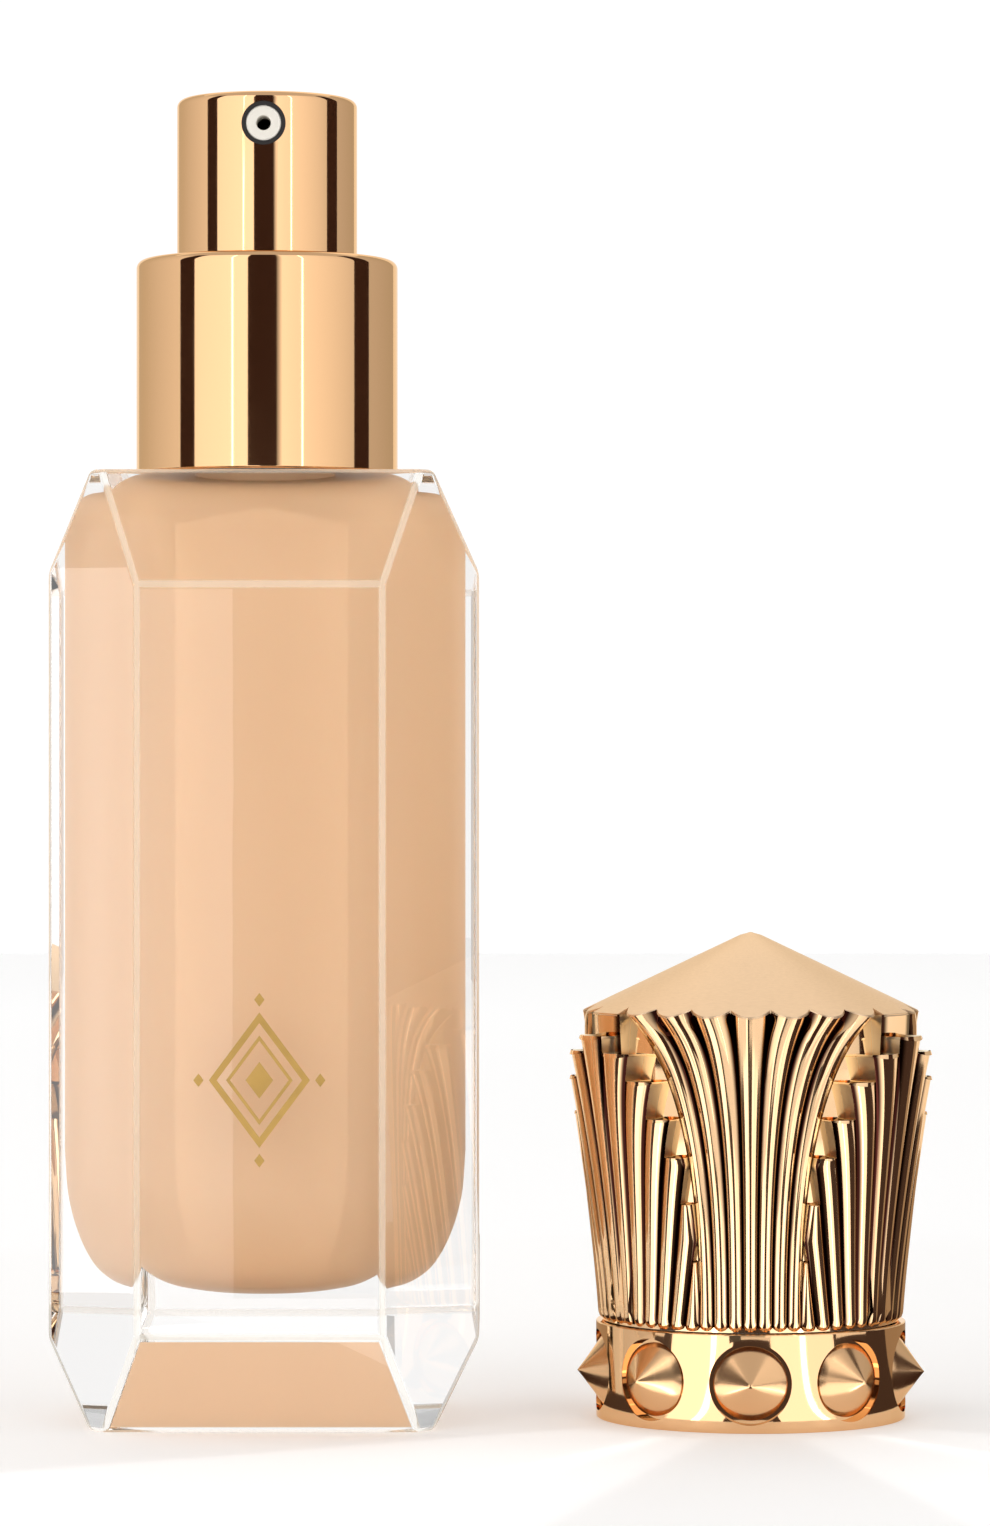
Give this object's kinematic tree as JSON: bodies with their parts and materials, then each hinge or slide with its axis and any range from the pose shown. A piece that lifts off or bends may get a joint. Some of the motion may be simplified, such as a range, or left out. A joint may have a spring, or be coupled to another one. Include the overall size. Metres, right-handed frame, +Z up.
{
  "type": "foundation bottle",
  "caption": "Emerald-cut glass foundation bottle with a metal-clad lotion pump, and its fluted crown cap with a cone roof and studded band standing beside it.",
  "frame": {"origin": "centre of the bottle's base, on the surface it stands on", "axes": "+Z up along the bottle's axis, -Y the way the nozzle points, +X towards the cap"},
  "size_m": [0.0787, 0.0335, 0.1183],
  "materials": {
    "glass": "clear flint glass, polished",
    "foundation": "thick opaque cream in a light beige",
    "polished_gold": "mirror-polished, anodised warm gold",
    "satin_gold": "satin brushed, anodised warm gold",
    "cream_plastic": "smooth moulded plastic",
    "clear_plastic": "natural translucent polypropylene",
    "black_plastic": "moulded plastic",
    "seal": "soft polyethylene seal",
    "steel": "stainless"
  },
  "bodies": {
    "bottle": {"glass_bottle": "glass", "foundation_fluid": "foundation"},
    "pump_core": {"neck_gasket": "seal", "pump_housing": "clear_plastic", "housing_retainer": "cream_plastic", "dip_tube": "clear_plastic", "return_spring": "steel"},
    "inlet_ball": {"check_ball": "steel"},
    "collar": {"screw_closure": "cream_plastic", "collar_shell": "polished_gold"},
    "stem": {"piston_stem": "cream_plastic", "piston": "seal"},
    "actuator": {"actuator_core": "black_plastic", "actuator_shell": "polished_gold", "nozzle_insert": "cream_plastic"},
    "cap": {"cap_crown": "polished_gold", "cap_roof": "satin_gold", "cap_band": "polished_gold", "cap_liner": "cream_plastic", "cap_stud_1": "polished_gold", "cap_stud_2": "polished_gold", "cap_stud_3": "polished_gold", "cap_stud_4": "polished_gold", "cap_stud_5": "polished_gold", "cap_stud_6": "polished_gold", "cap_stud_7": "polished_gold", "cap_stud_8": "polished_gold", "cap_stud_9": "polished_gold"}
  },
  "joints": [
    {"name": "pump_lift", "type": "slide", "parent": "bottle", "child": "pump_core", "axis": [0, 0, 1], "range_m": [0, 0.0045]},
    {"name": "collar_unscrew", "type": "hinge", "parent": "pump_core", "child": "collar", "pos_m": [0, 0, 0.09], "axis": [0, 0, 1], "range_deg": [0, 541]},
    {"name": "actuator_press", "type": "slide", "parent": "pump_core", "child": "stem", "axis": [0, 0, -1], "range_m": [0, 0.004], "stiffness_N_per_m": 1200, "springref_m": -0.006, "deforming": ["return_spring"]},
    {"name": "actuator_turn", "type": "hinge", "parent": "stem", "child": "actuator", "pos_m": [0, 0, 0.11], "axis": [0, 0, 1], "continuous": true},
    {"name": "ball_lift", "type": "slide", "parent": "pump_core", "child": "inlet_ball", "axis": [0, 0, 1], "range_m": [0, 0.001]},
    {"name": "cap_lift", "type": "slide", "parent": "bottle", "child": "cap", "axis": [0, 0, 1], "range_m": [0, 0.06]}
  ],
  "couplings": [
    {"joint": "collar_unscrew", "follows": "pump_lift", "rad_per_m": 2094.4}
  ]
}
